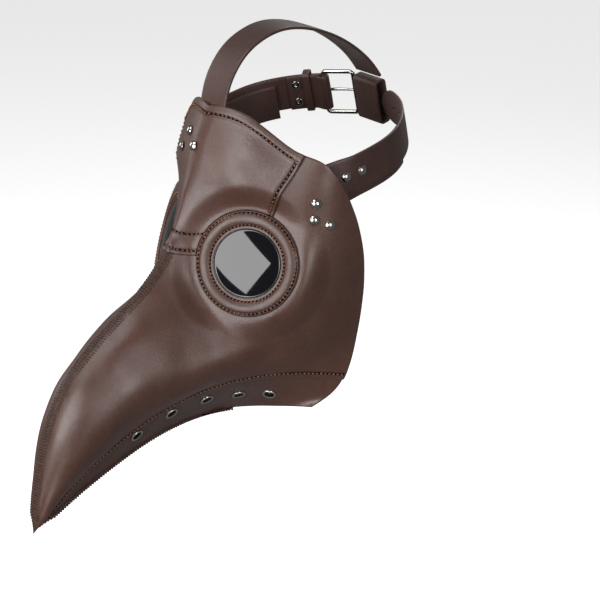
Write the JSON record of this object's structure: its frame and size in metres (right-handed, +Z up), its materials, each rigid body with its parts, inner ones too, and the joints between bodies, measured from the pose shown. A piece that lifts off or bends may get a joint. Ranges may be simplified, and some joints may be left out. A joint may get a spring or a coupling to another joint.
{
  "type": "plague doctor mask",
  "caption": "Leather beaked face mask with round dark lenses in stitched rings, air eyelets under the jaw, and a riveted three-strap head harness with a pin buckle.",
  "frame": {"origin": "centre of the wearer's head at eye level, midway between the ears", "axes": "+X to the wearer's left, -Y the way the face looks, +Z up"},
  "size_m": [0.1592, 0.3008, 0.303],
  "materials": {
    "leather_shell": "smooth dark brown leather, satin",
    "strap_leather": "smooth dark brown strap leather, satin",
    "lining_cloth": "plain woven lining",
    "lens_glass": "very dark tinted dome, polished",
    "black_plastic": "moulded, dull",
    "nickel": "nickel plated, polished"
  },
  "bodies": {
    "mask": {"forehead_panel": "leather_shell", "forehead_lining": "lining_cloth", "forehead_edge_strip": "leather_shell", "brow_rivets": "nickel", "ridge_welt": "leather_shell", "keel_seam_cord": "leather_shell", "top_strap_anchor": "strap_leather", "cheek_panel_left": "leather_shell", "cheek_lining_left": "lining_cloth", "chin_gusset_left": "leather_shell", "eye_ring_left": "leather_shell", "lens_left": "lens_glass", "lens_retainer_left": "black_plastic", "temple_rivets_left": "nickel", "vent_eyelets_left": "nickel", "anchor_tab_left": "strap_leather", "cheek_panel_right": "leather_shell", "cheek_lining_right": "lining_cloth", "chin_gusset_right": "leather_shell", "eye_ring_right": "leather_shell", "lens_right": "lens_glass", "lens_retainer_right": "black_plastic", "temple_rivets_right": "nickel", "vent_eyelets_right": "nickel", "anchor_tab_right": "strap_leather"},
    "left_strap": {"side_strap_left": "strap_leather", "inner_strap_left": "strap_leather", "strap_rivets_left": "nickel"},
    "right_strap": {"side_strap_right": "strap_leather", "inner_strap_right": "strap_leather", "strap_rivets_right": "nickel", "buckle_fold_rivets": "nickel", "keeper_loop": "strap_leather"},
    "top_strap": {"top_strap": "strap_leather", "top_strap_loop": "strap_leather"},
    "buckle_frame": {"buckle_frame": "nickel"},
    "buckle_prong": {"buckle_prong": "nickel"}
  },
  "joints": [
    {"name": "left_strap_swing", "type": "hinge", "parent": "mask", "child": "left_strap", "pos_m": [0.0746, -0.01475, 0.044], "axis": [-0.1131, -0.4101, 0.905], "range_deg": [-50, 0]},
    {"name": "right_strap_swing", "type": "hinge", "parent": "mask", "child": "right_strap", "pos_m": [-0.0746, -0.01475, 0.044], "axis": [0.1131, -0.4101, 0.905], "range_deg": [0, 50]},
    {"name": "top_strap_swing", "type": "hinge", "parent": "mask", "child": "top_strap", "pos_m": [0, -0.0642, 0.0955], "axis": [1, 0, 0], "range_deg": [0, 95]},
    {"name": "buckle_frame_tilt", "type": "hinge", "parent": "right_strap", "child": "buckle_frame", "pos_m": [-0.03708, 0.06404, 0.06831], "axis": [0, -0.2079, 0.9781], "range_deg": [-12, 35]},
    {"name": "buckle_prong_swing", "type": "hinge", "parent": "buckle_frame", "child": "buckle_prong", "pos_m": [-0.03708, 0.06404, 0.06831], "axis": [0, -0.2079, 0.9781], "range_deg": [0, 75]}
  ]
}
